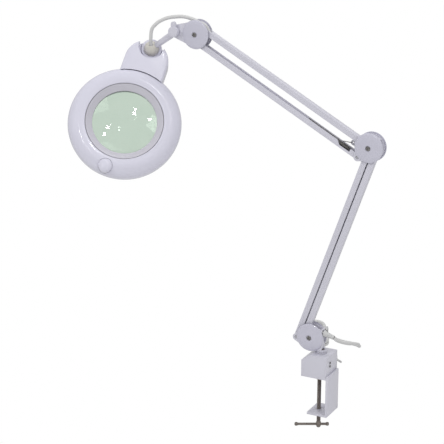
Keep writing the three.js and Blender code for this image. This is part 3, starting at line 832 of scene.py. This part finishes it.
bezel_loop = [
    *eased([(74.9, 21.6), (73.6, 21), (70, 18.4), (66, 15.4), (62.9, 13.3)], 4),
    (62.5, 12.6), (62.5, 11), (63.8, 11), (63.8, 6.2), (62.4, 6.2), (62.4, 3.5), (63.8, 1.5),
    (63.8, -17.6), (64.2, -18), (69.6, -18), (70, -17.6), (70, -16.2), (66, -16.2), (66, 12.6),
    (75, 19.4),
]
bezel = turned("lens_bezel_made", bezel_loop, HEAD, 180)
smooth(bezel, 30)
take(bezel, "lens_bezel", "bezel_plastic")

LENS_RADIUS = 63.5
LENS_BULGE = 6
LENS_EDGE = (6.5, 10.5)
RINGS = 12
glass_loop = [
    (LENS_RADIUS * r / RINGS, LENS_EDGE[1] + LENS_BULGE * (1 - (r / RINGS) ** 2)) for r in range(RINGS, -1, -1)]
glass_loop += [
    (LENS_RADIUS * r / RINGS, LENS_EDGE[0] - LENS_BULGE * (1 - (r / RINGS) ** 2)) for r in range(RINGS + 1)]
glass = turned("lens_made", glass_loop, HEAD, 160)
smooth(glass, 40)
take(glass, "lens")

TUBE_RING, TUBE_RADIUS, TUBE_HEIGHT = 86, 11.5, -1.2
tube_loop = []
for i in range(32):
    angle = math.pi * i / 16
    tube_loop.append((TUBE_RING + TUBE_RADIUS * math.cos(angle), TUBE_HEIGHT + TUBE_RADIUS * math.sin(angle)))
take(turned("ring_tube_made", tube_loop, HEAD, 128), "ring_tube")
opal = [*eased([(66.3, -14.5), (76, -13.5), (85, -13.2), (94, -13.5), (102.4, -14.3)], 4),
        *eased([(102.4, -15.7), (94, -14.9), (85, -14.6), (76, -14.9), (66.3, -15.9)], 4)]
piece = turned("diffuser_made", opal, HEAD, 160)
smooth(piece, 40)
take(piece, "diffuser")
button_loop = [
    (0, 12.8), (13.5, 12.8), (13.5, 22),
    *eased([(13.4, 22.8), (12.6, 24.4), (10.4, 25.8), (7, 26.8), (3.4, 27.1), (0, 27.2)], 4),
]
button_place = HEAD @ Matrix.Translation((SWITCH_AT[0] * MM, SWITCH_AT[1] * MM, 0))
piece = turned("switch_button_made", button_loop, button_place, 80)
smooth(piece, 30)
take(piece, "switch_button")
CUP_RADIUS = 15.3
cup = [math.radians(degrees) for degrees in range(-52, -3, 6)]
seat_loop = [
    *[(CUP_RADIUS * math.cos(angle), CUP_RADIUS * math.sin(angle)) for angle in cup],
    (19.5, -1), (20.1, -1.6), (20.5, -3), (20.5, -15), (9.5, -15),
]
piece = turned("ball_seat_made", seat_loop, HEAD @ Matrix.Translation((0, BALL_REACH * MM, 0)), 72)
smooth(piece, 30)
take(piece, "ball_seat")

for name, node in LEFTOVER.items():
    node.data.materials.clear()
    node.data.materials.append(M[SLOT[name]])

# ---- studio ---------------------------------------------------------------------------
def seen_white(nodes, links):
    """One for what the camera sees directly or through glass, and nought for other light."""
    rays = nodes.new("ShaderNodeLightPath")
    seen = nodes.new("ShaderNodeMath")
    seen.operation = "MAXIMUM"
    links.new(rays.outputs["Is Camera Ray"], seen.inputs[0])
    links.new(rays.outputs["Is Transmission Ray"], seen.inputs[1])
    return seen.outputs[0]


FLOOR_HALF = 6
FLOOR_HEIGHT = -0.125
corners = [(x * FLOOR_HALF, y * FLOOR_HALF, FLOOR_HEIGHT) for x, y in ((-1, -1), (1, -1), (1, 1), (-1, 1))]
floor = new_mesh("studio_floor", corners, [(0, 1, 2, 3)])
paper = bpy.data.materials.new("studio_paper")
paper.use_nodes = True
nodes, links = paper.node_tree.nodes, paper.node_tree.links
nodes.clear()
matt = nodes.new("ShaderNodeBsdfDiffuse")
matt.inputs["Color"].default_value = (0.8, 0.8, 0.8, 1)
bright = nodes.new("ShaderNodeEmission")
bright.inputs["Color"].default_value = (1, 1, 1, 1)
blend = nodes.new("ShaderNodeMixShader")
sink = nodes.new("ShaderNodeOutputMaterial")
links.new(seen_white(nodes, links), blend.inputs[0])
links.new(matt.outputs[0], blend.inputs[1])
links.new(bright.outputs[0], blend.inputs[2])
links.new(blend.outputs[0], sink.inputs[0])
floor.data.materials.append(paper)

sky = bpy.data.worlds.new("studio_air")
bpy.context.scene.world = sky
sky.use_nodes = True
nodes, links = sky.node_tree.nodes, sky.node_tree.links
nodes.clear()
power = nodes.new("ShaderNodeMapRange")
power.inputs["To Min"].default_value = 0.55
power.inputs["To Max"].default_value = 1.0
links.new(seen_white(nodes, links), power.inputs["Value"])
air = nodes.new("ShaderNodeBackground")
air.inputs["Color"].default_value = (1, 1, 1, 1)
links.new(power.outputs[0], air.inputs["Strength"])
sink = nodes.new("ShaderNodeOutputWorld")
links.new(air.outputs[0], sink.inputs["Surface"])


def soft_box(name, spot, target, size, power, mirrored=True):
    light = bpy.data.lights.new(name, "AREA")
    light.shape = "RECTANGLE"
    light.size, light.size_y = size
    light.energy = power
    lamp = bpy.data.objects.new(name, light)
    way = Vector(target) - Vector(spot)
    lamp.matrix_world = Matrix.Translation(spot) @ way.to_track_quat("-Z", "Y").to_matrix().to_4x4()
    lamp.visible_glossy = mirrored
    bpy.context.scene.collection.objects.link(lamp)


LENS_CURVE = 339


def seen_in_lens(across, up, reach=2.6):
    """Where a lamp hangs whose image stands that many millimetres from the lens's middle."""
    middle_of_lens = HEAD.translation
    sight = (EYE - middle_of_lens).normalized()
    facing = (NORMAL + (ACROSS * across + UPWARD * up) / LENS_CURVE).normalized()
    return middle_of_lens + (2 * facing.dot(sight) * facing - sight) * reach


soft_box("key_softbox", (-1.4, -2.2, 2.2), (-0.2, 0, 0.3), (1.2, 0.9), 17, False)
soft_box("fill_softbox", (2.4, -1.4, 1.4), (-0.1, 0, 0.3), (1.4, 1.0), 11, False)
soft_box("top_softbox", (0.0, 0.6, 2.6), (-0.1, 0, 0.3), (1.6, 1.2), 15, False)
# Small lamps whose images show as bright marks on the lens: across, up and watts.
MARKS = [(13, 34, 1.2), (14.3, 24, 1.2), (50.2, 22.9, 1.2), (-30, -24, 1.2), (-33, -40, 1.5)]
for index, (across, up, power) in enumerate(MARKS):
    soft_box(f"spot_{index}", seen_in_lens(across, up), HEAD.translation, (0.085, 0.1), power)

bpy.context.scene.view_settings.view_transform = "Standard"
